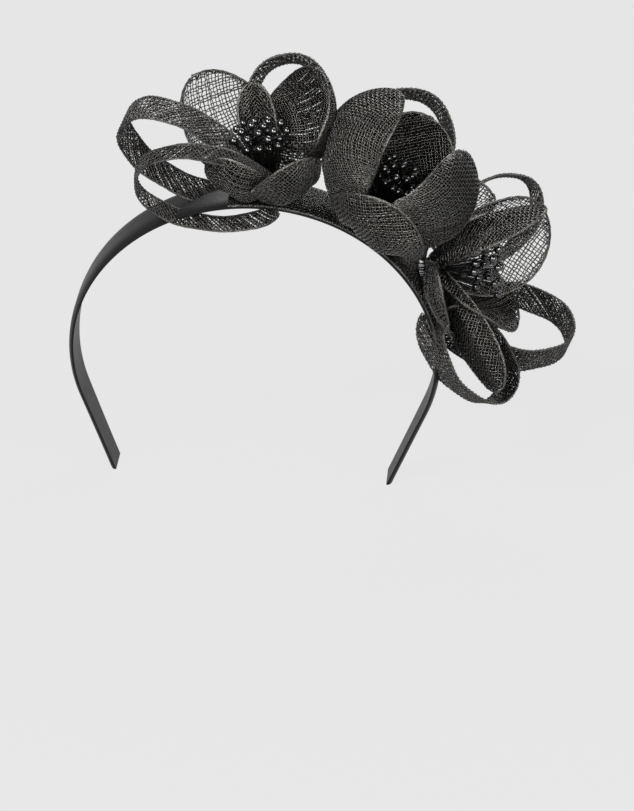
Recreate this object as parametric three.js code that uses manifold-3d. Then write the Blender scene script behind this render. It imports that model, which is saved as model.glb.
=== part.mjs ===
// A black fascinator: a satin-covered headband that carries a strip of sinamay, an open straw
// cloth, with three sinamay flowers, their beaded stamens and seven sinamay loops.
// Millimetres and degrees. +X is the wearer's left, -Y the wearer's front and +Z up. The band
// stands on its two tips at z = 0, and the origin is below the middle of the whole fascinator.
import * as THREE from "three";
import { mergeVertices } from "three/addons/utils/BufferGeometryUtils.js";
import Module from "manifold-3d";

const wasm = await Module();
wasm.setup();

// The headband.
const headHalfWidth = 77; // inside half-width at its widest
const crownRise = 69; // from the widest level up to the inside of the crown
const innerHeight = 127; // from the tips up to the inside of the crown
const legAngle = 110; // the arch turns this far from the crown, and the legs below it are straight
const bandWidth = 28; // at the crown
const tipWidth = 16;
const bandThickness = 2.4;
const bandEdge = 0.9; // thickness at the band's two edges
const taperFrom = 0.35; // share of the way from the crown to a tip where the band starts to narrow
const bandSteps = 30;

// The sinamay, a stiffened straw cloth that is folded double.
const clothThickness = 1.0;
const clearance = 0.3; // between pieces that touch
const weldDistance = 1e-4; // points closer than this are one
const slopeStep = 1e-3; // share of a surface over which its slope is measured

// The strip that covers the band under the flowers.
const stripWidth = 30;
const stripStart = -9; // degrees from the crown
const stripEnd = 86;
const stripSteps = 18;
const stripCells = 4;

// The flowers.
const petalLength = 46;
const petalWidth = 36;
const petalSteps = 6;
const petalCells = 6;
// A petal's outline: its width at the foot and the tip as shares of its widest, where it is
// widest, and how full its tip is.
const outline = { foot: 0.4, widestAt: 0.52, tip: 0.25, fullness: 2.2 };
const hubRadius = 3.6; // the bundle of stems that the petals are sewn round
const hubHeight = 8;
const stamenCount = 15;
const stamenReach = 22; // from the foot of the fan of stems to a bead's centre
const stamenFan = 27; // the outermost stems' angle from the flower's axis
const stamenTurn = 137.5; // from one stem to the next round the spiral
const stemSpread = 0.8; // the outermost stem's foot, as a share of the hub's radius
const stemSunk = 1; // how far the stems' feet stand in the hub
const stemRadius = 0.5;
const beadRadius = 1.8;
const beadSides = 10;
const beadLatitudes = [-25, 30]; // degrees

// The loops.
const loopReach = 50;
const loopWidth = 13; // width of the ribbon
const loopFootGap = 5; // between a loop's two ends
const loopSteps = 20;

// Rows of a table as objects with the named columns.
function table(columns, rows) {
  const names = columns.split(" ");
  return rows.map((row) => Object.fromEntries(row.map((value, i) => [names[i], value])));
}

// Each flower's place: degrees along the band, then its axis's lean to the front and along the
// band, and its stems' reach as a share of the named size.
const flowers = table(
  "name angle nod sway reach",
  [
    ["1", 3, 6, -14, 1.0],
    ["2", 34.5, 6, 2, 1.0],
    ["3", 57, 2, 25, 1.25],
  ],
);

// Each petal: turn about the flower's axis (0 along the band to the wearer's left, 90 to the
// back), lean of its foot from the axis, curl of its line and cup of its section as whole
// angles, roll of its section about its line, rise of its foot up the hub, and its length and
// width as shares of the named sizes.
const petals = table(
  "flower part turn lean curl cup roll rise length width",
  [
    [0, "left", 144, 76, -86, 100, 0, 0.5, 1.26, 1.45],
    [0, "back", 96, 40, -30, 150, 0, 0.7, 0.85, 0.5],
    [0, "right", 30, 96, -122, 140, 0, 0.4, 1.34, 1.7],
    [0, "front_right", -60, 110, -112, 120, 0, 0.2, 1.02, 1.05],
    [0, "front_left", -120, 104, -118, 120, 0, 0.3, 0.98, 1.0],
    [1, "left", 192, 105, -168, 150, 0, 0.4, 1.88, 1.8],
    [1, "back", 98, 44, -36, 90, 0, 0.7, 1.0, 1.2],
    [1, "back_right", 26, 60, -12, 70, 0, 0.6, 1.1, 1.0],
    [1, "right", -28, 101, -182, 150, 0, 0.5, 1.7, 1.95],
    [1, "front", -92, 110, -118, 60, 0, 0.25, 1.18, 1.3],
    [2, "left", 180, 50, -62, 110, 0, 0.4, 1.3, 0.95],
    [2, "back", 98, 42, -34, 80, 0, 0.7, 1.2, 1.35],
    [2, "right", 12, 62, -42, 100, 0, 0.5, 1.0, 1.2],
    [2, "lower", -60, 100, -50, 70, 0, 0.5, 0.7, 1.15],
    [2, "front", -30, 76, -22, 90, 45, 0.8, 1.25, 0.7],
  ],
);

// Each loop: its foot (degrees along the band and millimetres to the back), the heading of its
// far end (turn about the band's normal and lean from it), bank of its plane about that
// heading, tip of the ribbon and its twist from end to end, fullness near the foot (0 is the
// fullest), and reach, spread and width as shares of the named sizes.
const loops = table(
  "name foot back turn lean bank tip twist full reach spread width",
  [
    ["1", -3, -4, 178, 58, -25, 0, 0, 0.3, 1.2, 0.75, 1.05],
    ["2", 6, -16, 185, 84, -22, 0, 40, 0.2, 1.2, 0.8, 0.6],
    ["3", 5, 12, 90, 26, 0, 20, 0, 0.5, 1.02, 0.72, 0.8],
    ["4", 38, 12, 130, 28, 0, 20, 0, 0.5, 1.08, 0.85, 0.9],
    ["5", 60, 12, 85, 32, 0, 10, 0, 0.5, 1.2, 0.7, 0.7],
    ["6", 77, 6, 20, 26, -50, 0, 40, 0.2, 1.12, 0.6, 1.3],
    ["7", 72, -8, 0, 72, -30, 0, 30, 0.2, 0.92, 0.5, 1.5],
  ],
);

const back = new THREE.Vector3(0, 1, 0);
const rad = THREE.MathUtils.degToRad;
const widestLevel = innerHeight - crownRise;

// The sum of two vectors, each with its share.
const mix = (a, shareOfA, b, shareOfB) => a.clone().multiplyScalar(shareOfA).addScaledVector(b, shareOfB);

// A point on the band's inner face with the outward normal and the direction along the band.
// Beyond legAngle the angle counts on as distance down the straight leg.
function bandFrame(angle) {
  const side = Math.sign(angle) || 1;
  const turn = rad(Math.min(Math.abs(angle), legAngle));
  const along = new THREE.Vector3(
    headHalfWidth * Math.cos(turn),
    0,
    -crownRise * Math.sin(turn),
  ).normalize();
  const beyond = rad(Math.max(Math.abs(angle) - legAngle, 0)) * headHalfWidth;
  const point = new THREE.Vector3(
    headHalfWidth * Math.sin(turn),
    0,
    widestLevel + crownRise * Math.cos(turn),
  ).addScaledVector(along, beyond);
  const normal = new THREE.Vector3(-along.z, 0, along.x);
  point.x *= side;
  normal.x *= side;
  along.z *= side;
  return { point, normal, along };
}

// The angle at which the leg's inner face reaches the surface that the band stands on.
function tipAngle() {
  const leg = bandFrame(legAngle);
  return legAngle + THREE.MathUtils.radToDeg(leg.point.z / -leg.along.z / headHalfWidth);
}

// A thin solid lofted through stations. Each station has an outer and an inner row of points.
function slabGeometry(stations) {
  const count = stations[0].outer.length;
  const rings = stations.map(({ outer, inner }) => [...outer, ...inner.toReversed()]);
  const positions = rings.flat().flatMap((p) => p.toArray());
  const ring = 2 * count;
  const triangles = [];
  for (let i = 0; i + 1 < rings.length; i++)
    for (let j = 0; j < ring; j++) {
      const [a, b] = [i * ring + j, i * ring + ((j + 1) % ring)];
      triangles.push(a, b + ring, b, a, a + ring, b + ring);
    }
  const last = (rings.length - 1) * ring;
  for (let j = 0; j + 1 < count; j++) {
    const [a, b, c, d] = [j, j + 1, ring - 2 - j, ring - 1 - j];
    triangles.push(a, c, d, a, b, c);
    triangles.push(last + a, last + d, last + c, last + a, last + c, last + b);
  }
  const geometry = new THREE.BufferGeometry();
  geometry.setAttribute("position", new THREE.Float32BufferAttribute(positions, 3));
  geometry.setIndex(triangles);
  return geometry;
}

// A closed geometry as a manifold-3d solid, and a solid as a geometry.
function solidOf(geometry) {
  const bare = geometry.clone();
  bare.deleteAttribute("normal");
  bare.deleteAttribute("uv");
  const merged = mergeVertices(bare, weldDistance);
  return new wasm.Manifold(
    new wasm.Mesh({
      numProp: 3,
      vertProperties: merged.attributes.position.array,
      triVerts: new Uint32Array(merged.index.array),
    }),
  );
}

function geometryOf(solid) {
  const mesh = solid.getMesh();
  const geometry = new THREE.BufferGeometry();
  geometry.setAttribute("position", new THREE.BufferAttribute(mesh.vertProperties, 3));
  geometry.setIndex(new THREE.BufferAttribute(mesh.triVerts, 1));
  return geometry;
}

// A cloth wall round a surface given as pointAt(u, v), with u from 0 to 1 along it and v from
// -1 to 1 across it. The grown wall is larger by that much on every side.
function clothSolid(pointAt, along, cells, grown) {
  const half = clothThickness / 2 + grown;
  const stations = along.map((u, i) => {
    const station = { outer: [], inner: [] };
    for (let j = 0; j <= cells; j++) {
      const v = (2 * j) / cells - 1;
      const lengthways = pointAt(u + slopeStep, v).sub(pointAt(u - slopeStep, v)).normalize();
      const crossways = pointAt(u, v + slopeStep).sub(pointAt(u, v - slopeStep)).normalize();
      const normal = new THREE.Vector3().crossVectors(lengthways, crossways).normalize();
      const point = pointAt(u, v);
      if (j === 0) point.addScaledVector(crossways, -grown);
      if (j === cells) point.addScaledVector(crossways, grown);
      if (i === 0) point.addScaledVector(lengthways, -grown);
      if (i === along.length - 1) point.addScaledVector(lengthways, grown);
      station.outer.push(point.clone().addScaledVector(normal, half));
      station.inner.push(point.clone().addScaledVector(normal, -half));
    }
    return station;
  });
  return solidOf(slabGeometry(stations));
}

const evenly = (steps) => Array.from({ length: steps + 1 }, (_, i) => i / steps);
// Stations that come closer together towards a petal's rounded tip.
const towardsTip = (steps) => evenly(steps).map((s) => Math.sin((s * Math.PI) / 2));

// The band's height above its inner face, across its width from -1 to 1: a low crown that
// falls to the rounded edges.
const crownShape = (v) => bandThickness - (bandThickness - bandEdge) * Math.abs(v) ** 5;

function bandSolid(grown) {
  const across = [-1, -0.85, 0, 0.85, 1];
  const end = tipAngle();
  const stations = evenly(bandSteps).map((s) => {
    const angle = end * (2 * s - 1);
    const { point, normal, along } = bandFrame(angle);
    const toTip = Math.abs(angle) / end;
    const taper = THREE.MathUtils.smoothstep(toTip, taperFrom, 1);
    const width = THREE.MathUtils.lerp(bandWidth, tipWidth, taper);
    // The two end sections are level, so that the tips stand flat.
    const atTip = s === 0 || s === 1;
    const outward = atTip
      ? new THREE.Vector3(Math.sign(normal.x) / Math.abs(along.z), 0, 0)
      : normal;
    const at = (v, height) =>
      point.clone().addScaledVector(outward, height).addScaledVector(back, (v * width) / 2);
    const outer = across.map((v) => at(v * (1 + (2 * grown) / width), crownShape(v) + grown));
    const inner = across.map((v) => at(v * (1 + (2 * grown) / width), -grown));
    return { outer, inner };
  });
  return solidOf(slabGeometry(stations));
}

// The strip follows the band's outer face and turns a little down over its edges.
function stripPoint(u, v) {
  const { point, normal } = bandFrame(THREE.MathUtils.lerp(stripStart, stripEnd, u));
  const height = crownShape(v) + 1.5 * clearance + clothThickness / 2;
  return point.addScaledVector(normal, height).addScaledVector(back, (v * stripWidth) / 2);
}

// A flower's frame: its foot on the strip, its axis, and the direction along the band.
function flowerFrame({ angle, nod, sway, reach }) {
  const { point, normal, along } = bandFrame(angle);
  const foot = point.addScaledVector(normal, bandThickness + clothThickness + 2 * clearance);
  const turn = new THREE.Quaternion()
    .setFromAxisAngle(back, rad(sway))
    .multiply(new THREE.Quaternion().setFromAxisAngle(along, rad(nod)));
  return {
    foot,
    axis: normal.clone().applyQuaternion(turn),
    along: along.clone().applyQuaternion(turn),
    back: back.clone().applyQuaternion(turn),
    reach: reach * stamenReach,
  };
}

// A petal's half-width along its line, as a share of its widest.
function petalOutline(u) {
  const { foot, widestAt, tip, fullness } = outline;
  const s = THREE.MathUtils.clamp(u, 0, 1);
  if (s < widestAt) return foot + (1 - foot) * Math.sin(((s / widestAt) * Math.PI) / 2);
  const fall = ((s - widestAt) / (1 - widestAt)) ** fullness;
  return Math.sqrt(1 - fall * (1 - tip ** 2));
}

function petalPoint(frame, row) {
  const out = mix(frame.along, Math.cos(rad(row.turn)), frame.back, Math.sin(rad(row.turn)));
  const foot = frame.foot
    .clone()
    .addScaledVector(frame.axis, row.rise * hubHeight)
    .addScaledVector(out, hubRadius / 2);
  const [length, half] = [row.length * petalLength, (row.width * petalWidth) / 2];
  const [lean, curl, cup, roll] = [row.lean, row.curl, row.cup, row.roll].map(rad);
  return (u, v) => {
    const angle = lean + curl * u;
    // The line bends evenly, so it is an arc, or straight where there is no curl.
    const [outward, upward] = curl
      ? [(Math.cos(lean) - Math.cos(angle)) / curl, (Math.sin(angle) - Math.sin(lean)) / curl]
      : [u * Math.sin(lean), u * Math.cos(lean)];
    const line = mix(out, Math.sin(angle), frame.axis, Math.cos(angle));
    const inward = mix(frame.axis, Math.sin(angle), out, -Math.cos(angle));
    const side = new THREE.Vector3().crossVectors(line, inward);
    side.applyAxisAngle(line, roll);
    inward.applyAxisAngle(line, roll);
    // Across, the petal is an arc of the whole angle cup up to its widest place, and beyond
    // it the arc keeps its radius.
    const share = u < outline.widestAt ? 1 : petalOutline(u);
    const radius = (2 * half * petalOutline(u)) / (cup * share);
    const bend = (v * share * cup) / 2;
    return foot
      .clone()
      .addScaledVector(out, length * outward)
      .addScaledVector(frame.axis, length * upward)
      .addScaledVector(side, radius * Math.sin(bend))
      .addScaledVector(inward, radius * (1 - Math.cos(bend)));
  };
}

// A bundle of stems with a bead on each, fanned out from the hub's top in a spiral.
function stamenSolid(frame, grown) {
  const aim = new THREE.Matrix4()
    .makeBasis(frame.along, frame.back, frame.axis)
    .setPosition(frame.foot);
  const [radius, height] = [hubRadius + grown, hubHeight + grown];
  const hub = new THREE.CylinderGeometry(radius, radius, height, beadSides)
    .rotateX(Math.PI / 2)
    .translate(0, 0, height / 2);
  const parts = [solidOf(hub)];
  for (let i = 0; i < stamenCount; i++) {
    const share = Math.sqrt((i + 0.5) / stamenCount);
    const stem = stemGeometry(frame.reach, grown)
      .rotateY(share * rad(stamenFan))
      .translate(share * stemSpread * hubRadius, 0, hubHeight - stemSunk)
      .rotateZ(i * rad(stamenTurn));
    parts.push(solidOf(stem));
  }
  return wasm.Manifold.union(parts).transform(aim.elements);
}

function stemGeometry(reach, grown) {
  const [stem, bead] = [stemRadius + grown, beadRadius + grown];
  const profile = [
    [0, 0],
    [stem, 0],
    [stem, reach - Math.sqrt(bead ** 2 - stem ** 2)],
    ...beadLatitudes.map((l) => [bead * Math.cos(rad(l)), reach + bead * Math.sin(rad(l))]),
    [0, reach + bead],
  ].map(([radius, height]) => new THREE.Vector2(radius, height));
  return new THREE.LatheGeometry(profile, beadSides).rotateX(Math.PI / 2);
}

// A ribbon bent to a loop whose two ends stand side by side on the strip.
function loopPoint(row) {
  const { point, normal, along } = bandFrame(row.foot);
  const foot = point
    .addScaledVector(normal, bandThickness + clothThickness + 3 * clearance)
    .addScaledVector(back, row.back);
  const out = mix(along, Math.cos(rad(row.turn)), back, Math.sin(rad(row.turn)));
  const heading = mix(out, Math.sin(rad(row.lean)), normal, Math.cos(rad(row.lean)));
  const side = new THREE.Vector3().crossVectors(heading, back).normalize();
  side.applyAxisAngle(heading, rad(row.bank));
  const across = new THREE.Vector3().crossVectors(heading, side);
  const [reach, spread] = [row.reach * loopReach, row.spread * loopReach];
  const half = (row.width * loopWidth) / 2;
  const centre = (t) => {
    const round = 2 * Math.PI * t;
    const bulge = (-spread / 2) * Math.sin(round) * Math.abs(Math.sin(Math.PI * t)) ** row.full;
    return foot
      .clone()
      .addScaledVector(heading, (reach * (1 - Math.cos(round))) / 2)
      .addScaledVector(side, bulge + loopFootGap * (t - 0.5));
  };
  return (t, v) => {
    const line = centre(t + slopeStep).sub(centre(t - slopeStep)).normalize();
    const width = across.clone().applyAxisAngle(line, rad(row.tip + row.twist * (t - 0.5)));
    return centre(t).addScaledVector(width, v * half);
  };
}

// Pieces are placed one after another, and each is cut clear of those placed before it.
const placed = [];
function place(name, material, solidGrownBy) {
  let solid = solidGrownBy(0);
  for (const other of placed) solid = solid.subtract(other.grown);
  const bodies = solid.decompose().sort((a, b) => b.volume() - a.volume());
  placed.push({ name, material, solid: bodies[0], grown: solidGrownBy(clearance) });
}

const satin = new THREE.MeshStandardMaterial({ color: 0x1d1d1c, roughness: 0.45, metalness: 0 });
const sinamay = new THREE.MeshStandardMaterial({ color: 0x1c1c1b, roughness: 0.55, metalness: 0 });
const jet = new THREE.MeshStandardMaterial({ color: 0x0a0a0a, roughness: 0.12, metalness: 0 });

place("headband", satin, bandSolid);
place("base_strip", sinamay, (grown) => clothSolid(stripPoint, evenly(stripSteps), stripCells, grown));
const frames = flowers.map(flowerFrame);
frames.forEach((frame, i) =>
  place("stamens_" + flowers[i].name, jet, (grown) => stamenSolid(frame, grown)),
);
for (const row of loops) {
  const surface = loopPoint(row);
  place("loop_" + row.name, sinamay, (grown) => clothSolid(surface, evenly(loopSteps), 1, grown));
}
for (const row of petals) {
  const surface = petalPoint(frames[row.flower], row);
  const along = towardsTip(petalSteps);
  const name = "petal_" + flowers[row.flower].name + "_" + row.part;
  place(name, sinamay, (grown) => clothSolid(surface, along, petalCells, grown));
}

// The fascinator, moved so that the origin is below the middle of its box.
const fascinator = new THREE.Group();
for (const { name, material, solid } of placed) {
  const mesh = new THREE.Mesh(geometryOf(solid), material.clone());
  mesh.name = name;
  fascinator.add(mesh);
}
const middle = new THREE.Box3().setFromObject(fascinator).getCenter(new THREE.Vector3());
for (const mesh of fascinator.children) mesh.position.set(-middle.x, -middle.y, 0);

export default fascinator;
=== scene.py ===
"""A black sinamay fascinator on a satin headband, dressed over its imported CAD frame.

Sizes are in millimetres until mesh_object turns them into metres. The tables and surfaces
repeat those of the part's source, so that each piece lies where its solid does. Sinamay is
made of its real threads: a plain weave that runs slantwise over each petal and loop.
"""
import math

import bpy
import numpy as np
from mathutils import Matrix, Vector


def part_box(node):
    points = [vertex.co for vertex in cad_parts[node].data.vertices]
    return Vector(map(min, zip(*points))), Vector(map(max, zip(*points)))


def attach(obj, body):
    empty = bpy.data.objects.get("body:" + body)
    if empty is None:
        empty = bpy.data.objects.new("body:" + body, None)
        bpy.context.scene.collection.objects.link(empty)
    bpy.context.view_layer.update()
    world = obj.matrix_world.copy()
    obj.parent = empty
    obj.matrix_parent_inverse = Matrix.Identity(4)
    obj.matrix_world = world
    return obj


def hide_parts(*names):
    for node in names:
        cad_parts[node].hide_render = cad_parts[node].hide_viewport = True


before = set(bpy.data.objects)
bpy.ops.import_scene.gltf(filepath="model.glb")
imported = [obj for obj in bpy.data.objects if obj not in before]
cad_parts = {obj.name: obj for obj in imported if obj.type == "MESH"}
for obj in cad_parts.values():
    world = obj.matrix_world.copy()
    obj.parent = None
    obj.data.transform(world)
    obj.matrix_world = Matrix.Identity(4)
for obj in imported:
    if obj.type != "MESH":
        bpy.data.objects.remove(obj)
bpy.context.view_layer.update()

# The headband.
HEAD_HALF_WIDTH = 77.0
CROWN_RISE = 69.0
INNER_HEIGHT = 127.0
LEG_ANGLE = 110.0
BAND_WIDTH = 28.0
TIP_WIDTH = 16.0
BAND_THICKNESS = 2.4
BAND_EDGE = 0.9
BAND_SQUARENESS = 5  # how flat the band stays before its edges fall
BAND_STEPS = 361
PROFILE_STEPS = 11
TAPER_FROM = 0.35
AT_TIP = 1e-6  # degrees
CLOTH = 1.0
CLEARANCE = 0.3

# The strip under the flowers.
STRIP_WIDTH = 30.0
STRIP_START = -9.0
STRIP_END = 86.0
STRIP_GAP = 1.5 * CLEARANCE
STRIP_STEPS = 300
STRIP_SLANT = 42
STRIP_LIFT = 0.2
STRIP_HEM_ROLL = 0.45

# The flowers.
PETAL_LENGTH = 46.0
PETAL_WIDTH = 36.0
OUTLINE_FOOT = 0.4
OUTLINE_WIDEST = 0.52
OUTLINE_TIP = 0.05  # the CAD ends its petals a little blunter
OUTLINE_FULLNESS = 2.2
HUB_RADIUS = 3.6
HUB_HEIGHT = 8.0
PETAL_EDGE_STEPS = 150
PETAL_TIP_STEPS = 14

# The folds of a petal: heights in millimetres, and how fast each wave runs across and along.
GATHER_HEIGHT = 0.9
GATHER_FADE = 1.6
GATHER_ACROSS = 13
GATHER_DRIFT = 1.5
GATHER_DRIFT_ACROSS = 3
CREASE_HEIGHT = 0.8
CREASE_ACROSS = 6.5
CREASE_ALONG = 3
SWELL_HEIGHT = 0.9
SWELL_ACROSS = 2.5
SWELL_ALONG = 4
LIP_HEIGHT = 0.5
LIP_ACROSS = 5

# The stamens.
STAMENS = 15
STAMEN_REACH = 22.0
STAMEN_FAN = 27.0
STAMEN_TURN = 137.5
STEM_SPREAD = 0.8
STEM_SUNK = 1.0
STEM_RADIUS = 0.42
STEM_FOOT = 0.8  # how far down the hub a stem starts, as a share of its height
STEM_BOW = 0.5
STEM_STEPS = 12
STEM_SIDES = 6
BEAD_RADIUS = 1.8
BEAD_SIZES = (0.92, 1.04)
BEAD_RINGS = 12
BEAD_SIDES = 20
EXTRA_BEADS = 16  # on shorter stems, beyond those of the CAD
EXTRA_INNERMOST = 0.45
EXTRA_SPAN = 0.5
EXTRA_TURN = 60
EXTRA_REACH = (0.66, 0.84)
NO_STEM = np.array([0.3, 0.5, 0.8])  # a direction that no stem points in

# The loops.
LOOP_REACH = 50.0
LOOP_WIDTH = 13.0
LOOP_FOOT_GAP = 5.0
LOOP_STEPS = 400
HEADING_STEP = 1e-3  # to each side of a place on the loop, to find which way it runs there
LOOP_SLANTS = (45, 40)  # of the outer and the under layer
LOOP_LIFT = 0.4  # of the outer layer above the middle of the ribbon
LOOP_HEM_ROLL = 0.4
RIPPLE_HEIGHT = 0.35
RIPPLE_LENGTH = 7
BUCKLE_HEIGHT = 0.25
BUCKLE_LENGTH = 3.1

# The weave of the sinamay.
THREAD_GAP = 1.3  # from one thread to the next
THREAD_WIDTH = 0.56
THREAD_HEIGHT = 0.3
FINE_THREAD_WIDTH = 0.5  # in the loops
OPEN_THREAD_GAP = 1.55  # in the single cloth
OPEN_THREAD_WIDTH = 0.62
THREAD_RISE = 0.2  # how far a thread goes over and under the ones that it crosses
THREAD_SWAY = 0.12  # how far a whole thread strays, as a share of the gap
CROSSING_SWAY = 0.09  # and each of its crossings
WEAVE_SHIFT = 0.3  # and the whole weave, at most
THREAD_FINENESS = (0.75, 1.25)  # the finest and coarsest, as shares of the usual width
RUN_STRIDE = 100000  # more than the crossings on any one thread
LAYER_LIFT = 0.5  # of a petal's outer layers above and below its middle
LAYER_TURN = 5  # degrees between the weaves of the two outer layers
HEM_WIDTH = 3.2  # the edge is folded in this far
HEM_LIFT = 0.1
HEM_TURN = 20
HEM_ROLL = 0.55  # half the thickness of the rolled edge
ROLL_STRANDS = 3
ROLL_PITCH = 2.4  # along the edge for each radian that a strand turns
ROLL_SPREAD = 0.45  # this and the next two are shares of the roll's radius
ROLL_STRAND_WIDTH = 1.3
ROLL_STRAND_HEIGHT = 1.1
ROLL_SIDES = 5
EDGE_STEPS = 200
CUT_STEPS = 200
LINING_WIDTH = 0.95  # of one strip of a loop's inner layer
LINING_SHARE = 0.97  # of the way to the edge that a petal's inner layer goes
LINING_COLUMNS = 25
LINING_ROWS = 49
NARROWEST_SHEET = 0.01  # in metres: the narrowest width of a sheet's flat cut
MM = 0.001
TINY = 1e-9

# Where each kind of piece starts its random numbers.
PETAL_SEED = 100
LOOP_SEED = 300
STRIP_SEED = 500
STAMEN_SEED = 700

# Colours, and noises as their scale and detail. A middle value is what a socket holds under
# the noise that feeds it.
STRAW_MIDDLE = (0.012, 0.012, 0.012)
STRAW_MIDDLE_ROUGHNESS = 0.4
STRAW_ROUGHNESS = (0.12, 0.4)
STRAW_GLOSS = 0.85
STRAW_BUMP = 0.6
RIBBON_ROUGHNESS = (0.25, 0.5)
RIBBON_GLOSS = 0.55
RIBBON_BUMP = 0.25
STRAW_DARK = (0.0042, 0.004, 0.0038)
STRAW_PALE = (0.031, 0.0298, 0.0285)
RIBBON_PALE = (0.044, 0.0423, 0.0405)
STRAW_TINT = (1, 0.96, 0.86)
STRAW_TONES = (420, 3)
STRAW_TONE_RANGE = (-0.6, 1.4)
STRAW_FIBRES = (1500, 2)
STRAW_RELIEF = (1800, 2)
STRAW_RELIEF_DEPTH = 0.0004
# Painted shade: the inner layers of doubled cloth are near black, darker than the sinamay's fibre,
# for the light that the outer layers keep off them.
PAINTED_SHADE_COLOUR = (0.002, 0.002, 0.002)
SHADE_MIDDLE_ROUGHNESS = 0.95
SHADE_ROUGHNESS = (0.9, 1.0)
SHADE_GRAIN = (900, 2)
SHADE_GLOSS = 0.05
SATIN_COLOUR = (0.0055, 0.0054, 0.0054)
SATIN_MIDDLE_ROUGHNESS = 0.42
SATIN_ROUGHNESS = (0.36, 0.5)
SATIN_GLOSS = 0.13
SATIN_SHEEN = 0.02
SATIN_SHEEN_ROUGHNESS = 0.4
SATIN_CLOUDS = (260, 4)
SATIN_PUCKERS = (160, 3)
SATIN_PUCKER_STRENGTH = 0.06
SATIN_PUCKER_DEPTH = 0.0012
JET_COLOUR = (0.004, 0.0037, 0.0034)
JET_MIDDLE_ROUGHNESS = 0.07
JET_ROUGHNESS = (0.04, 0.12)
JET_GLOSS = 0.7
JET_COAT = 0.6
JET_COAT_ROUGHNESS = 0.05
JET_SMEARS = (700, 2)
PAPER_COLOUR = (0.02, 0.02, 0.02)
PAPER_MIDDLE_ROUGHNESS = 0.9
PAPER_ROUGHNESS = (0.85, 0.95)
PAPER_GRAIN = (40, 2)
PAPER_GLOW = 0.755
WHITE = (1, 1, 1, 1)
WORLD_STRENGTH = 0.3
FLOOR_SIZE = 12

# The camera stands where the photo's did, 25 degrees above level.
CAMERA_AZIMUTH = math.radians(3)
CAMERA_ELEVATION = math.radians(25)
CAMERA_ROLL = math.radians(2)
CAMERA_DISTANCE = 1700.0
CAMERA_TARGET = np.array([27.0, 0.0, 32.0])
PIXELS_PER_MM = 2.33
PICTURE_HEIGHT = 811
SENSOR = 36.0
CLIP_START = 0.01
CLIP_END = 20


def table(columns, rows):
    """Rows of values as dictionaries with the named columns."""
    names = columns.split()
    return [dict(zip(names, row)) for row in rows]


FLOWERS = table(
    "name angle nod sway reach",
    [
        ["1", 3, 6, -14, 1.0],
        ["2", 34.5, 6, 2, 1.0],
        ["3", 57, 2, 25, 1.25],
    ],
)

# The last columns are the slant of the weave, the number of layers of cloth, and the width of the
# inner layer's strips (near black, painted shade) where light comes between them, or 0 where it is
# closed.
PETALS = table(
    "flower part turn lean curl cup roll rise length width slant layers inner",
    [
        [0, "left", 144, 76, -86, 100, 0, 0.5, 1.26, 1.45, 8, 1, 0],
        [0, "back", 96, 40, -30, 150, 0, 0.7, 0.85, 0.5, 45, 2, 0],
        [0, "right", 30, 96, -122, 140, 0, 0.4, 1.34, 1.7, 50, 2, 1.15],
        [0, "front_right", -60, 110, -112, 120, 0, 0.2, 1.02, 1.05, 40, 2, 0],
        [0, "front_left", -120, 104, -118, 120, 0, 0.3, 0.98, 1.0, 48, 2, 0],
        [1, "left", 192, 105, -168, 150, 0, 0.4, 1.88, 1.8, 42, 2, 0],
        [1, "back", 98, 44, -36, 90, 0, 0.7, 1.0, 1.2, 45, 2, 0],
        [1, "back_right", 26, 60, -12, 70, 0, 0.6, 1.1, 1.0, 52, 1, 0],
        [1, "right", -28, 101, -182, 150, 0, 0.5, 1.7, 1.95, 38, 2, 0],
        [1, "front", -92, 110, -118, 60, 0, 0.25, 1.18, 1.3, 45, 2, 0],
        [2, "left", 180, 50, -62, 110, 0, 0.4, 1.3, 0.95, 40, 2, 0],
        [2, "back", 98, 42, -34, 80, 0, 0.7, 1.2, 1.35, 48, 1, 0],
        [2, "right", 12, 62, -42, 100, 0, 0.5, 1.0, 1.2, 42, 2, 0],
        [2, "lower", -60, 100, -50, 70, 0, 0.5, 0.7, 1.15, 50, 2, 0],
        [2, "front", -30, 76, -22, 90, 45, 0.8, 1.25, 0.7, 45, 2, 0],
    ],
)

LOOPS = table(
    "name foot back turn lean bank tip twist full reach spread width",
    [
        ["1", -3, -4, 178, 58, -25, 0, 0, 0.3, 1.2, 0.75, 1.05],
        ["2", 6, -16, 185, 84, -22, 0, 40, 0.2, 1.2, 0.8, 0.6],
        ["3", 5, 12, 90, 26, 0, 20, 0, 0.5, 1.02, 0.72, 0.8],
        ["4", 38, 12, 130, 28, 0, 20, 0, 0.5, 1.08, 0.85, 0.9],
        ["5", 60, 12, 85, 32, 0, 10, 0, 0.5, 1.2, 0.7, 0.7],
        ["6", 77, 6, 20, 26, -50, 0, 40, 0.2, 1.12, 0.6, 1.3],
        ["7", 72, -8, 0, 72, -30, 0, 30, 0.2, 0.92, 0.5, 1.5],
    ],
)

# Places and sizes in metres, and power in watts.
LIGHTS = table(
    "name place size power",
    [
        ["key", (-0.7, -0.9, 1.3), (0.6, 0.6), 34],
        ["fill", (1.0, -0.8, 0.7), (0.6, 0.6), 12],
        ["rim", (0.2, 1.1, 0.9), (1.2, 0.5), 14],
        ["glint_left", (-0.35, -1.2, 0.75), (0.3, 0.5), 10],
        ["glint_right", (0.45, -1.2, 0.7), (0.2, 0.5), 8],
    ],
)
LIGHT_TARGET = Vector((0, 0, 0.12))

# The CAD's origin lies below the middle of the whole fascinator, and the band's own middle is
# worked out from its box.
band_low, band_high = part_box("headband")
SHIFT = np.array([(band_low[0] + band_high[0]) / 2, (band_low[1] + band_high[1]) / 2, 0]) / MM
BACK = np.array([0.0, 1.0, 0.0])


def unit(vectors):
    """Vectors scaled to length one."""
    return vectors / np.linalg.norm(vectors, axis=-1, keepdims=True)


def unit_or_none(vectors):
    """Vectors scaled to length one, and those without a length left as they are."""
    return vectors / np.maximum(np.linalg.norm(vectors, axis=1, keepdims=True), TINY)


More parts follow.
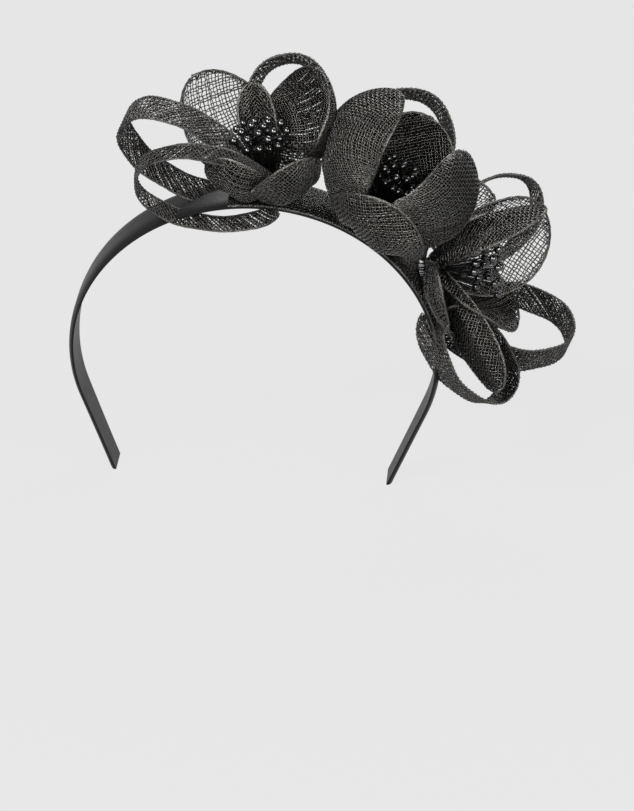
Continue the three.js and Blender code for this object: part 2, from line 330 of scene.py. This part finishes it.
def rotated(vectors, axis, angle):
    """Vectors turned about an axis by an angle in radians, one angle or one for each vector."""
    angle = np.asarray(angle)[..., None]
    axis = unit(axis)
    dot = (vectors * axis).sum(-1, keepdims=True)
    turned = vectors * np.cos(angle) + np.cross(axis, vectors) * np.sin(angle)
    return turned + axis * dot * (1 - np.cos(angle))


def band_frame(angle):
    """Points on the band's inner face, with the outward normals and the directions along it."""
    angle = np.asarray(angle, float)
    side = np.where(angle < 0, -1.0, 1.0)
    turn = np.radians(np.minimum(np.abs(angle), LEG_ANGLE))
    zero = np.zeros_like(turn)
    along = unit(
        np.stack([HEAD_HALF_WIDTH * np.cos(turn), zero, -CROWN_RISE * np.sin(turn)], -1)
    )
    beyond = np.radians(np.maximum(np.abs(angle) - LEG_ANGLE, 0)) * HEAD_HALF_WIDTH
    level = INNER_HEIGHT - CROWN_RISE + CROWN_RISE * np.cos(turn)
    point = np.stack([HEAD_HALF_WIDTH * np.sin(turn), zero, level], -1)
    point = point + along * beyond[..., None]
    normal = np.stack([-along[..., 2], zero, along[..., 0]], -1)
    point[..., 0] *= side
    normal[..., 0] *= side
    along[..., 2] *= side
    return point, normal, along


def tip_angle():
    """The angle at which the leg's inner face reaches the surface that the band stands on."""
    point, _, along = band_frame(LEG_ANGLE)
    return LEG_ANGLE + math.degrees(point[2] / -along[2] / HEAD_HALF_WIDTH)


def crown_shape(v):
    """The band's height above its inner face, across its width from -1 to 1."""
    return BAND_THICKNESS - (BAND_THICKNESS - BAND_EDGE) * np.abs(v) ** BAND_SQUARENESS


def flower_frame(row):
    """A flower's foot on the strip, its axis, and its directions along the band and back."""
    point, normal, along = band_frame(row["angle"])
    foot = point + normal * (BAND_THICKNESS + CLOTH + 2 * CLEARANCE)
    nod, sway = math.radians(row["nod"]), math.radians(row["sway"])
    axes = [rotated(rotated(a, along, nod), BACK, sway) for a in (normal, along, BACK)]
    return {"foot": foot, "axis": axes[0], "along": axes[1], "back": axes[2]}


def outline(u):
    """A petal's half-width along its line, as a share of its widest."""
    u = np.clip(u, 0, 1)
    to_widest = np.minimum(u / OUTLINE_WIDEST, 1)
    rising = OUTLINE_FOOT + (1 - OUTLINE_FOOT) * np.sin(to_widest * math.pi / 2)
    fall = np.clip((u - OUTLINE_WIDEST) / (1 - OUTLINE_WIDEST), 0, 1) ** OUTLINE_FULLNESS
    return np.where(u < OUTLINE_WIDEST, rising, np.sqrt(1 - fall * (1 - OUTLINE_TIP**2)))


class Petal:
    """The curved surface of one petal, as a flat cloth of points (x across, y along)."""

    def __init__(self, row, seed):
        self.row = row
        self.frame = flower_frame(FLOWERS[row["flower"]])
        self.length = row["length"] * PETAL_LENGTH
        self.half = row["width"] * PETAL_WIDTH / 2
        self.random = np.random.default_rng(seed)
        self.phase = self.random.uniform(0, 2 * math.pi, 4)
        turn = math.radians(row["turn"])
        self.out = self.frame["along"] * math.cos(turn) + self.frame["back"] * math.sin(turn)

    def half_width(self, y):
        """Half the petal's width at each distance from its foot."""
        return self.half * outline(y / self.length)

    def at(self, x, y, lift=0.0):
        """The points over flat places, raised by lift, and the surface's normals there."""
        row, out, axis = self.row, self.out, self.frame["axis"]
        u = np.clip(y / self.length, 0, 1)
        v = np.clip(x / self.half_width(y), -1, 1)
        lean, curl, cup = (math.radians(row[key]) for key in ("lean", "curl", "cup"))
        angle = lean + curl * u
        outward = (math.cos(lean) - np.cos(angle)) / curl
        upward = (np.sin(angle) - math.sin(lean)) / curl
        sine, cosine = np.sin(angle)[..., None], np.cos(angle)[..., None]
        line = out * sine + axis * cosine
        inward = axis * sine - out * cosine
        side = np.cross(line, inward)
        roll = math.radians(row["roll"])
        side, inward = (
            side * math.cos(roll) + inward * math.sin(roll),
            inward * math.cos(roll) - side * math.sin(roll),
        )
        # The section keeps its whole angle up to the widest place and its radius beyond it.
        share = np.where(u < OUTLINE_WIDEST, 1.0, outline(u))
        radius = 2 * self.half * outline(u) / (cup * share)
        bend = v * share * cup / 2
        foot = self.frame["foot"] + axis * row["rise"] * HUB_HEIGHT + out * HUB_RADIUS / 2
        point = foot + self.length * (out * outward[..., None] + axis * upward[..., None])
        point = point + side * (radius * np.sin(bend))[..., None]
        point = point + inward * (radius * (1 - np.cos(bend)))[..., None]
        normal = inward * np.cos(bend)[..., None] - side * np.sin(bend)[..., None]
        lift = lift + self.folds(u, v)
        return point + normal * lift[..., None], normal

    def folds(self, u, v):
        """Gathers that run out from the foot, creases, and slow waves along the edge and tip."""
        a, b, c, d = self.phase
        drift = GATHER_DRIFT * np.sin(GATHER_DRIFT_ACROSS * v + b)
        gathers = GATHER_HEIGHT * (1 - u) ** GATHER_FADE * np.sin(GATHER_ACROSS * v + a + drift)
        creases = np.sin(CREASE_ACROSS * v + CREASE_ALONG * u + b)
        creases = CREASE_HEIGHT * np.sin(math.pi * u) * creases
        swell = np.sin(SWELL_ALONG * u + SWELL_ACROSS * v + c)
        swell = SWELL_HEIGHT * u**2 * np.abs(v) ** 2 * swell
        lip = LIP_HEIGHT * u**3 * np.sin(LIP_ACROSS * v + d)
        return gathers + creases + swell + lip

    def edge(self):
        """The petal's edge as flat places, from one side of the foot round to the other."""
        y = np.linspace(0, self.length, PETAL_EDGE_STEPS)
        w = self.half_width(y)
        tip = np.linspace(-w[-1], w[-1], PETAL_TIP_STEPS)[1:-1]
        x = np.concatenate([-w, tip, w[::-1]])
        return x, np.concatenate([y, np.full(len(tip), self.length), y[::-1]])


class Tape:
    """A flat cloth of one width from end to end (x across, y along)."""

    def half_width(self, y):
        """Half the cloth's width at each distance along it."""
        return np.full_like(y, self.half)

    def edge(self):
        """The two long edges as flat places, there and back."""
        y = np.linspace(0, self.length, EDGE_STEPS)
        w = self.half_width(y)
        return np.concatenate([-w, w[::-1]]), np.concatenate([y, y[::-1]])


class Ribbon(Tape):
    """The curved surface of one loop, as a flat ribbon (x across, y along)."""

    def __init__(self, row, seed):
        self.row = row
        self.random = np.random.default_rng(seed)
        point, normal, along = band_frame(row["foot"])
        lift = BAND_THICKNESS + CLOTH + 3 * CLEARANCE
        self.foot = point + normal * lift + BACK * row["back"]
        turn, lean = math.radians(row["turn"]), math.radians(row["lean"])
        out = along * math.cos(turn) + BACK * math.sin(turn)
        self.heading = out * math.sin(lean) + normal * math.cos(lean)
        side = unit(np.cross(self.heading, BACK))
        self.side = rotated(side, self.heading, math.radians(row["bank"]))
        self.across = np.cross(self.heading, self.side)
        self.half = row["width"] * LOOP_WIDTH / 2
        t = np.linspace(0, 1, LOOP_STEPS)
        steps = np.linalg.norm(np.diff(self.centre(t), axis=0), axis=1)
        self.shares = t
        self.distances = np.concatenate([[0], np.cumsum(steps)])
        self.length = self.distances[-1]
        self.phase = self.random.uniform(0, 2 * math.pi, 2)

    def centre(self, t):
        """Points along the middle of the ribbon, from one foot at 0 to the other at 1."""
        row = self.row
        turn = 2 * math.pi * t
        full = np.abs(np.sin(math.pi * t)) ** row["full"]
        bulge = -row["spread"] * LOOP_REACH / 2 * np.sin(turn) * full
        reach = row["reach"] * LOOP_REACH * (1 - np.cos(turn)) / 2
        aside = bulge + LOOP_FOOT_GAP * (t - 0.5)
        return self.foot + self.heading * reach[..., None] + self.side * aside[..., None]

    def at(self, x, y, lift=0.0):
        """The points over flat places, raised by lift, and the surface's normals there."""
        t = np.interp(np.clip(y, 0, self.length), self.distances, self.shares)
        line = unit(self.centre(t + HEADING_STEP) - self.centre(t - HEADING_STEP))
        twist = np.radians(self.row["tip"] + self.row["twist"] * (t - 0.5))
        width = rotated(np.broadcast_to(self.across, line.shape), line, twist)
        normal = np.cross(width, line)
        x = np.clip(x, -self.half, self.half)
        v = x / self.half
        ripple = RIPPLE_HEIGHT * np.sin(y / RIPPLE_LENGTH + self.phase[0]) * v
        buckle = BUCKLE_HEIGHT * np.sin(y / BUCKLE_LENGTH + self.phase[1]) * v**2
        lift = lift + ripple + buckle
        return self.centre(t) + width * x[..., None] + normal * lift[..., None], normal


class Strip(Tape):
    """The strip that covers the band, as a flat cloth (x across, y along)."""

    def __init__(self, seed):
        self.random = np.random.default_rng(seed)
        self.half = STRIP_WIDTH / 2
        angles = np.linspace(STRIP_START, STRIP_END, STRIP_STEPS)
        point, normal, _ = band_frame(angles)
        middle = point + normal * BAND_THICKNESS
        steps = np.linalg.norm(np.diff(middle, axis=0), axis=1)
        self.angles = angles
        self.distances = np.concatenate([[0], np.cumsum(steps)])
        self.length = self.distances[-1]

    def at(self, x, y, lift=0.0):
        """The points over flat places, raised by lift, and the surface's normals there."""
        angle = np.interp(np.clip(y, 0, self.length), self.distances, self.angles)
        point, normal, _ = band_frame(angle)
        x = np.clip(x, -self.half, self.half)
        v = x / self.half
        height = crown_shape(v) + STRIP_GAP + CLOTH / 2 + lift
        return point + normal * height[..., None] + BACK * x[..., None], normal


def tubes(points, normals, runs, width, height, sides=3):
    """Flat-sided tubes along runs of points, or flat strips where sides is 2.

    Neighbouring points with one run number join.
    """
    same = runs[1:] == runs[:-1]
    index = np.arange(len(runs))
    before = index - np.concatenate([[False], same])
    after = index + np.concatenate([same, [False]])
    line = unit_or_none(points[after] - points[before])
    across = unit_or_none(np.cross(line, normals))
    up = np.cross(across, line)
    turns = 2 * math.pi * np.arange(sides) / sides + (math.pi / 2 if sides > 2 else 0)
    width = np.broadcast_to(width, len(points))[:, None, None] / 2
    height = np.broadcast_to(height, len(points))[:, None, None] / 2
    ring = across[:, None] * np.cos(turns)[None, :, None] * width
    ring = ring + up[:, None] * np.sin(turns)[None, :, None] * height
    vertices = (points[:, None] + ring).reshape(-1, 3)
    first = np.flatnonzero(same)
    k = np.arange(sides if sides > 2 else 1)
    a = first[:, None] * sides + k
    b = first[:, None] * sides + (k + 1) % sides
    quads = np.stack([a, b, b + sides, a + sides], -1).reshape(-1, 4)
    return vertices, quads


def woven(
    surface, slant, lift=0.0, hem=None, systems=(0, 1), gap=THREAD_GAP, width=THREAD_WIDTH, sides=3
):
    """The threads of one layer of cloth over a surface, or of its folded hem alone."""
    random = surface.random
    reach = math.hypot(surface.length, 2 * surface.half) + gap
    count = int(reach / gap) + 1
    parts = []
    for system in systems:
        angle = math.radians(slant + 90 * system)
        ahead = np.array([math.sin(angle), math.cos(angle)])
        aside = np.array([math.cos(angle), -math.sin(angle)])
        index = np.arange(-count, count + 1)
        thread, knot = np.meshgrid(index, index, indexing="ij")
        sway = random.normal(0, CROSSING_SWAY, thread.shape)
        sway = sway + random.normal(0, THREAD_SWAY, (len(index), 1))
        start = random.uniform(-WEAVE_SHIFT, WEAVE_SHIFT)
        x = (knot * ahead[0] + (thread + sway + start) * aside[0]) * gap
        y = (knot * ahead[1] + (thread + sway + start) * aside[1]) * gap + surface.length / 2
        w = surface.half_width(y)
        inside = (np.abs(x) <= w + gap / 2) & (y >= -gap / 2) & (y <= surface.length + gap / 2)
        if hem:
            inside &= (np.abs(x) >= w - hem) | (y >= surface.length - hem)
        over = np.where((thread + knot) % 2 == 0, 1.0, -1.0) * (1 if system else -1)
        fine = random.uniform(*THREAD_FINENESS, (len(index), 1)) * np.ones_like(sway)
        runs = (thread + count) * RUN_STRIDE + np.cumsum(~inside, axis=1)
        x, y, runs, over, fine = (values[inside] for values in (x, y, runs, over, fine))
        points, normals = surface.at(x, y, lift + over * THREAD_RISE)
        parts.append(tubes(points, normals, runs, width * fine, THREAD_HEIGHT * fine, sides))
    return parts


def rolled_edge(surface, radius=HEM_ROLL):
    """The rolled edge: a rope of threads that follows the edge of the cloth."""
    points, normals = surface.at(*surface.edge())
    distance = np.concatenate([[0], np.cumsum(np.linalg.norm(np.diff(points, axis=0), axis=1))])
    line = unit(np.gradient(points, axis=0) + TINY)
    across = unit(np.cross(line, normals))
    up = np.cross(across, line)
    runs = np.zeros(len(points), int)
    width, height = ROLL_STRAND_WIDTH * radius, ROLL_STRAND_HEIGHT * radius
    parts = []
    for strand in range(ROLL_STRANDS):
        turn = distance / ROLL_PITCH + 2 * math.pi * strand / ROLL_STRANDS
        shifted = points + across * (np.cos(turn) * radius * ROLL_SPREAD)[:, None]
        shifted = shifted + up * (np.sin(turn) * radius * ROLL_SPREAD)[:, None]
        parts.append(tubes(shifted, normals, runs, width, height, ROLL_SIDES))
    return parts


def mesh_object(name, parts, material, replaced):
    """One object from lists of vertices and four-cornered faces, riding on the root body."""
    vertices, faces, total = [], [], 0
    for points, quads in parts:
        vertices.append(points)
        faces.append(quads + total)
        total += len(points)
    vertices = (np.concatenate(vertices) + SHIFT) * MM
    faces = np.concatenate(faces)
    mesh = bpy.data.meshes.new(name)
    mesh.vertices.add(len(vertices))
    mesh.vertices.foreach_set("co", vertices.astype(np.float32).ravel())
    mesh.loops.add(faces.size)
    mesh.loops.foreach_set("vertex_index", faces.astype(np.int32).ravel())
    mesh.polygons.add(len(faces))
    starts = np.arange(0, faces.size, faces.shape[1])
    mesh.polygons.foreach_set("loop_start", starts.astype(np.int32))
    mesh.polygons.foreach_set("use_smooth", np.full(len(faces), True))
    mesh.update(calc_edges=True)
    mesh.validate()
    mesh.materials.append(material)
    made = bpy.data.objects.new(name, mesh)
    bpy.context.scene.collection.objects.link(made)
    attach(made, "root")
    if replaced:
        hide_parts(*replaced)
    return made


def flat_cut(surface):
    """The width, length and area of the cloth's flat cut, in metres and square metres."""
    y = np.linspace(0, surface.length, CUT_STEPS)
    widths = 2 * surface.half_width(y)
    area = np.sum((widths[1:] + widths[:-1]) / 2 * np.diff(y))
    return (2 * surface.half * MM, surface.length * MM), float(area * MM * MM)


def inner_sheet(name, surface, slant=0, strips=0):
    """The cloth between the outer layers, in near-black painted shade: closed, or in slanting
    strips with light between.
    """
    if strips:
        parts = woven(surface, slant, systems=(0,), width=strips, sides=2)
    else:
        across = np.linspace(-LINING_SHARE, LINING_SHARE, LINING_COLUMNS)
        y = np.linspace(0, surface.length * LINING_SHARE, LINING_ROWS)
        y = np.repeat(y[:, None], LINING_COLUMNS, 1)
        points, _ = surface.at(across * surface.half_width(y), y)
        parts = [grid(points)]
    made = mesh_object(name + "_inner", parts, shade, [])
    size, area = flat_cut(surface)
    if size[0] < NARROWEST_SHEET:
        return


def grid(points):
    """A rectangle of points as vertices and faces."""
    rows, columns = points.shape[:2]
    index = np.arange(rows * columns).reshape(rows, columns)
    corners = [index[:-1, :-1], index[1:, :-1], index[1:, 1:], index[:-1, 1:]]
    return points.reshape(-1, 3), np.stack(corners, -1).reshape(-1, 4)


class Nodes:
    """A short way to write a node material."""

    def __init__(self, name, base, roughness):
        self.material = bpy.data.materials.new(name)
        self.material.use_nodes = True
        self.tree = self.material.node_tree
        self.shader = self.tree.nodes["Principled BSDF"]
        self.shader.inputs["Base Color"].default_value = (*base, 1)
        self.shader.inputs["Roughness"].default_value = roughness

    def add(self, kind, inputs=None, **settings):
        """A new node, with sockets linked or values set in its inputs."""
        node = self.tree.nodes.new(kind)
        for key, value in settings.items():
            setattr(node, key, value)
        for key, value in (inputs or {}).items():
            if isinstance(value, bpy.types.NodeSocket):
                self.tree.links.new(value, node.inputs[key])
            else:
                node.inputs[key].default_value = value
        return node

    def place(self):
        """Coordinates fixed to the piece."""
        return self.add("ShaderNodeTexCoord").outputs["Object"]

    def noise(self, scale, detail):
        """A smooth random value at each place."""
        inputs = {"Vector": self.place(), "Scale": scale, "Detail": detail}
        return self.add("ShaderNodeTexNoise", inputs).outputs["Fac"]

    def ramp(self, value, low, high):
        """A value from 0 to 1 spread from low to high."""
        inputs = {"Value": value, "To Min": low, "To Max": high}
        return self.add("ShaderNodeMapRange", inputs).outputs["Result"]

    def bump(self, height, strength, distance):
        """Relief too fine for the mesh."""
        inputs = {"Height": height, "Strength": strength, "Distance": distance}
        self.feed("Normal", self.add("ShaderNodeBump", inputs).outputs["Normal"])

    def feed(self, socket, value):
        """Link a value to one of the shader's sockets."""
        self.tree.links.new(value, self.shader.inputs[socket])

    def set(self, **values):
        """Set constant values on the shader's sockets."""
        for key, value in values.items():
            self.shader.inputs[key.replace("_", " ")].default_value = value


def straw_material(name, pale, roughness, gloss, relief):
    """Dyed abaca fibre: near black, with a gloss that varies from fibre to fibre."""
    made = Nodes(name, STRAW_MIDDLE, STRAW_MIDDLE_ROUGHNESS)
    tone = made.ramp(made.noise(*STRAW_TONES), *STRAW_TONE_RANGE)
    mix = made.add(
        "ShaderNodeMix",
        {"Factor": tone, "A": (*STRAW_DARK, 1), "B": (*pale, 1)},
        data_type="RGBA",
    )
    made.feed("Base Color", mix.outputs["Result"])
    made.feed("Roughness", made.ramp(made.noise(*STRAW_FIBRES), *roughness))
    made.set(Specular_IOR_Level=gloss, Specular_Tint=(*STRAW_TINT, 1))
    made.bump(made.noise(*STRAW_RELIEF), relief, STRAW_RELIEF_DEPTH)
    return made.material


def painted_shade_material():
    """Painted shade: a near-black copy of the sinamay for the inner layers of doubled cloth, which
    hardly any light reaches.
    """
    made = Nodes("shade", PAINTED_SHADE_COLOUR, SHADE_MIDDLE_ROUGHNESS)
    made.feed("Roughness", made.ramp(made.noise(*SHADE_GRAIN), *SHADE_ROUGHNESS))
    made.set(Specular_IOR_Level=SHADE_GLOSS)
    return made.material


def satin_material():
    """Black satin: a close sheen and small puckers."""
    made = Nodes("satin", SATIN_COLOUR, SATIN_MIDDLE_ROUGHNESS)
    made.feed("Roughness", made.ramp(made.noise(*SATIN_CLOUDS), *SATIN_ROUGHNESS))
    made.set(Specular_IOR_Level=SATIN_GLOSS)
    made.set(Sheen_Weight=SATIN_SHEEN, Sheen_Roughness=SATIN_SHEEN_ROUGHNESS)
    made.bump(made.noise(*SATIN_PUCKERS), SATIN_PUCKER_STRENGTH, SATIN_PUCKER_DEPTH)
    return made.material


def jet_material():
    """Glossy black beads."""
    made = Nodes("beads", JET_COLOUR, JET_MIDDLE_ROUGHNESS)
    made.feed("Roughness", made.ramp(made.noise(*JET_SMEARS), *JET_ROUGHNESS))
    made.set(Specular_IOR_Level=JET_GLOSS)
    made.set(Coat_Weight=JET_COAT, Coat_Roughness=JET_COAT_ROUGHNESS)
    return made.material


def petals():
    """Each petal's threads, hem and rolled edge, and its inner layer in painted shade where it is
    doubled.
    """
    for i, row in enumerate(PETALS):
        surface = Petal(row, PETAL_SEED + i)
        slant = row["slant"]
        flower = FLOWERS[row["flower"]]["name"]
        name = "petal_" + flower + "_" + row["part"]
        if row["layers"] > 1:
            parts = woven(surface, slant, -LAYER_LIFT)
            parts += woven(surface, slant + LAYER_TURN, LAYER_LIFT)
        else:
            parts = woven(surface, slant, gap=OPEN_THREAD_GAP, width=OPEN_THREAD_WIDTH)
        parts += woven(surface, slant + HEM_TURN, HEM_LIFT, hem=HEM_WIDTH)
        parts += rolled_edge(surface)
        threads = mesh_object(name + "_cloth", parts, straw, [name])
        if row["layers"] > 1:
            inner_sheet(name, surface, slant, row["inner"])


def loops():
    """Each loop's two outer layers and rolled edge, and its inner layer in painted shade."""
    outer_slant, under_slant = LOOP_SLANTS
    for i, row in enumerate(LOOPS):
        surface = Ribbon(row, LOOP_SEED + i)
        parts = woven(surface, outer_slant, LOOP_LIFT, width=FINE_THREAD_WIDTH)
        parts += woven(surface, under_slant, -LOOP_LIFT, width=FINE_THREAD_WIDTH)
        parts += rolled_edge(surface, LOOP_HEM_ROLL)
        name = "loop_" + row["name"]
        threads = mesh_object(name + "_cloth", parts, ribbon, [name])
        inner_sheet(name, surface, outer_slant, LINING_WIDTH)


def strip():
    """The strip's threads and rolled edge, and the closed layer in painted shade under them."""
    surface = Strip(STRIP_SEED)
    parts = woven(surface, STRIP_SLANT, STRIP_LIFT) + rolled_edge(surface, STRIP_HEM_ROLL)
    threads = mesh_object("base_strip_cloth", parts, straw, ["base_strip"])
    inner_sheet("base_strip", surface)


def stem_path(share, reach):
    """Points up one stem in the flower's own frame, before its turn about the axis."""
    lean = share * math.radians(STAMEN_FAN)
    along = np.linspace(-HUB_HEIGHT * STEM_FOOT, reach, STEM_STEPS)
    radius = share * STEM_SPREAD * HUB_RADIUS + np.sin(lean) * np.maximum(along, 0)
    height = HUB_HEIGHT - STEM_SUNK + np.where(along > 0, np.cos(lean) * along, along)
    return radius, height


def sphere(centre, axis, radius):
    """A round bead whose pole lies along an axis."""
    latitude = np.linspace(-math.pi / 2, math.pi / 2, BEAD_RINGS + 1)
    turn = np.linspace(0, 2 * math.pi, BEAD_SIDES, endpoint=False)
    right = unit(np.cross(axis, NO_STEM))
    up = np.cross(axis, right)
    ring = right * np.cos(turn)[:, None] + up * np.sin(turn)[:, None]
    points = ring[None] * np.cos(latitude)[:, None, None] + axis * np.sin(latitude)[:, None, None]
    points = centre + radius * points
    points = np.concatenate([points, points[:, :1]], axis=1)
    return grid(points[:, ::-1])


def stamens():
    """Each flower's stems and beads."""
    for i, row in enumerate(FLOWERS):
        flower = flower_frame(row)
        random = np.random.default_rng(STAMEN_SEED + i)
        stems, beads = [], []
        for k in range(STAMENS + EXTRA_BEADS):
            reach = row["reach"] * STAMEN_REACH
            if k < STAMENS:
                share = math.sqrt((k + 0.5) / STAMENS)
                turn = k * STAMEN_TURN
            else:
                share = EXTRA_INNERMOST + EXTRA_SPAN * (k - STAMENS) / EXTRA_BEADS
                turn = (k - STAMENS) * STAMEN_TURN + EXTRA_TURN
                reach = reach * random.uniform(*EXTRA_REACH)
            radius, height = stem_path(share, reach)
            turn = math.radians(turn)
            out = flower["along"] * math.cos(turn) + flower["back"] * math.sin(turn)
            points = flower["foot"] + out * radius[:, None] + flower["axis"] * height[:, None]
            bow = STEM_BOW * np.sin(np.linspace(0, math.pi, len(points)))[:, None]
            points = points + unit(np.cross(out, flower["axis"])) * bow * random.uniform(-1, 1)
            line = unit(points[-1] - points[-2])
            side = np.broadcast_to(unit(np.cross(line, out)), points.shape)
            thick = 2 * STEM_RADIUS
            runs = np.zeros(len(points), int)
            stems.append(tubes(points, side, runs, thick, thick, STEM_SIDES))
            beads.append(sphere(points[-1], line, BEAD_RADIUS * random.uniform(*BEAD_SIZES)))
        node = "stamens_" + row["name"]
        mesh_object(node + "_fine", stems + beads, jet, [node])


def rounded_profile(width):
    """The band's section: offsets across it and heights, once round."""
    outer = np.sin(np.linspace(-math.pi / 2, math.pi / 2, 2 * PROFILE_STEPS + 1))
    top = np.stack([outer * width / 2, crown_shape(outer)], -1)
    bottom = np.stack([outer[::-1] * width / 2, np.zeros(len(outer))], -1)
    return np.concatenate([top, bottom[1:-1]])


def headband():
    """The satin band, from tip to tip."""
    end = tip_angle()
    rings = []
    for angle in np.linspace(-end, end, BAND_STEPS):
        point, normal, along = band_frame(angle)
        to_tip = abs(angle) / end
        share = min(max((to_tip - TAPER_FROM) / (1 - TAPER_FROM), 0), 1)
        share = share * share * (3 - 2 * share)
        width = BAND_WIDTH + (TIP_WIDTH - BAND_WIDTH) * share
        profile = rounded_profile(width)
        at_tip = abs(angle) > end - AT_TIP
        outward = np.array([np.sign(normal[0]) / abs(along[2]), 0, 0]) if at_tip else normal
        rings.append(point + outward * profile[:, 1:] + BACK * profile[:, :1])
    rings = np.stack(rings)
    closed = np.concatenate([rings, rings[:, :1]], axis=1)
    mesh_object("headband_satin", [grid(closed)], satin, ["headband"])


def camera():
    """The photo's camera, with its slight turn to one side."""
    data = bpy.data.cameras.new("camera")
    data.sensor_fit = "VERTICAL"
    data.sensor_height = SENSOR
    data.lens = SENSOR * PIXELS_PER_MM * CAMERA_DISTANCE / PICTURE_HEIGHT
    data.clip_start = CLIP_START
    data.clip_end = CLIP_END
    made = bpy.data.objects.new("camera", data)
    a, e = CAMERA_AZIMUTH, CAMERA_ELEVATION
    backward = Vector((math.sin(a) * math.cos(e), -math.cos(a) * math.cos(e), math.sin(e)))
    right = Vector((math.cos(a), math.sin(a), 0))
    up = backward.cross(right)
    turned_right = right * math.cos(CAMERA_ROLL) + up * math.sin(CAMERA_ROLL)
    turned_up = backward.cross(turned_right)
    place = Vector((CAMERA_TARGET + SHIFT) * MM) + backward * (CAMERA_DISTANCE * MM)
    turn = Matrix((turned_right, turned_up, backward)).transposed()
    made.matrix_world = Matrix.Translation(place) @ turn.to_4x4()
    bpy.context.scene.collection.objects.link(made)
    bpy.context.scene.camera = made


def area_light(row):
    """One rectangular lamp that faces the flowers."""
    data = bpy.data.lights.new(row["name"], "AREA")
    data.shape = "RECTANGLE"
    data.size, data.size_y = row["size"]
    data.energy = row["power"]
    made = bpy.data.objects.new(row["name"], data)
    made.location = row["place"]
    made.rotation_mode = "QUATERNION"
    toward = LIGHT_TARGET - Vector(row["place"])
    made.rotation_quaternion = toward.to_track_quat("-Z", "Y")
    bpy.context.scene.collection.objects.link(made)


def surroundings():
    """The room's even light, a glowing paper floor for the photo's grey, and the lamps."""
    world = bpy.data.worlds.new("studio")
    world.use_nodes = True
    background = world.node_tree.nodes["Background"]
    background.inputs["Color"].default_value = WHITE
    background.inputs["Strength"].default_value = WORLD_STRENGTH
    bpy.context.scene.world = world
    bpy.ops.mesh.primitive_plane_add(size=FLOOR_SIZE, location=(0, 0, 0))
    floor = bpy.context.object
    floor.name = "floor"
    paper = Nodes("paper", PAPER_COLOUR, PAPER_MIDDLE_ROUGHNESS)
    paper.feed("Roughness", paper.ramp(paper.noise(*PAPER_GRAIN), *PAPER_ROUGHNESS))
    paper.set(Emission_Color=WHITE, Emission_Strength=PAPER_GLOW, Specular_IOR_Level=0.0)
    floor.data.materials.append(paper.material)
    for row in LIGHTS:
        area_light(row)


straw = straw_material("sinamay", STRAW_PALE, STRAW_ROUGHNESS, STRAW_GLOSS, STRAW_BUMP)
ribbon = straw_material("ribbon", RIBBON_PALE, RIBBON_ROUGHNESS, RIBBON_GLOSS, RIBBON_BUMP)
shade = painted_shade_material()
satin = satin_material()
jet = jet_material()

petals()
loops()
strip()
stamens()
headband()
camera()
surroundings()
bpy.context.scene.view_settings.view_transform = "Standard"
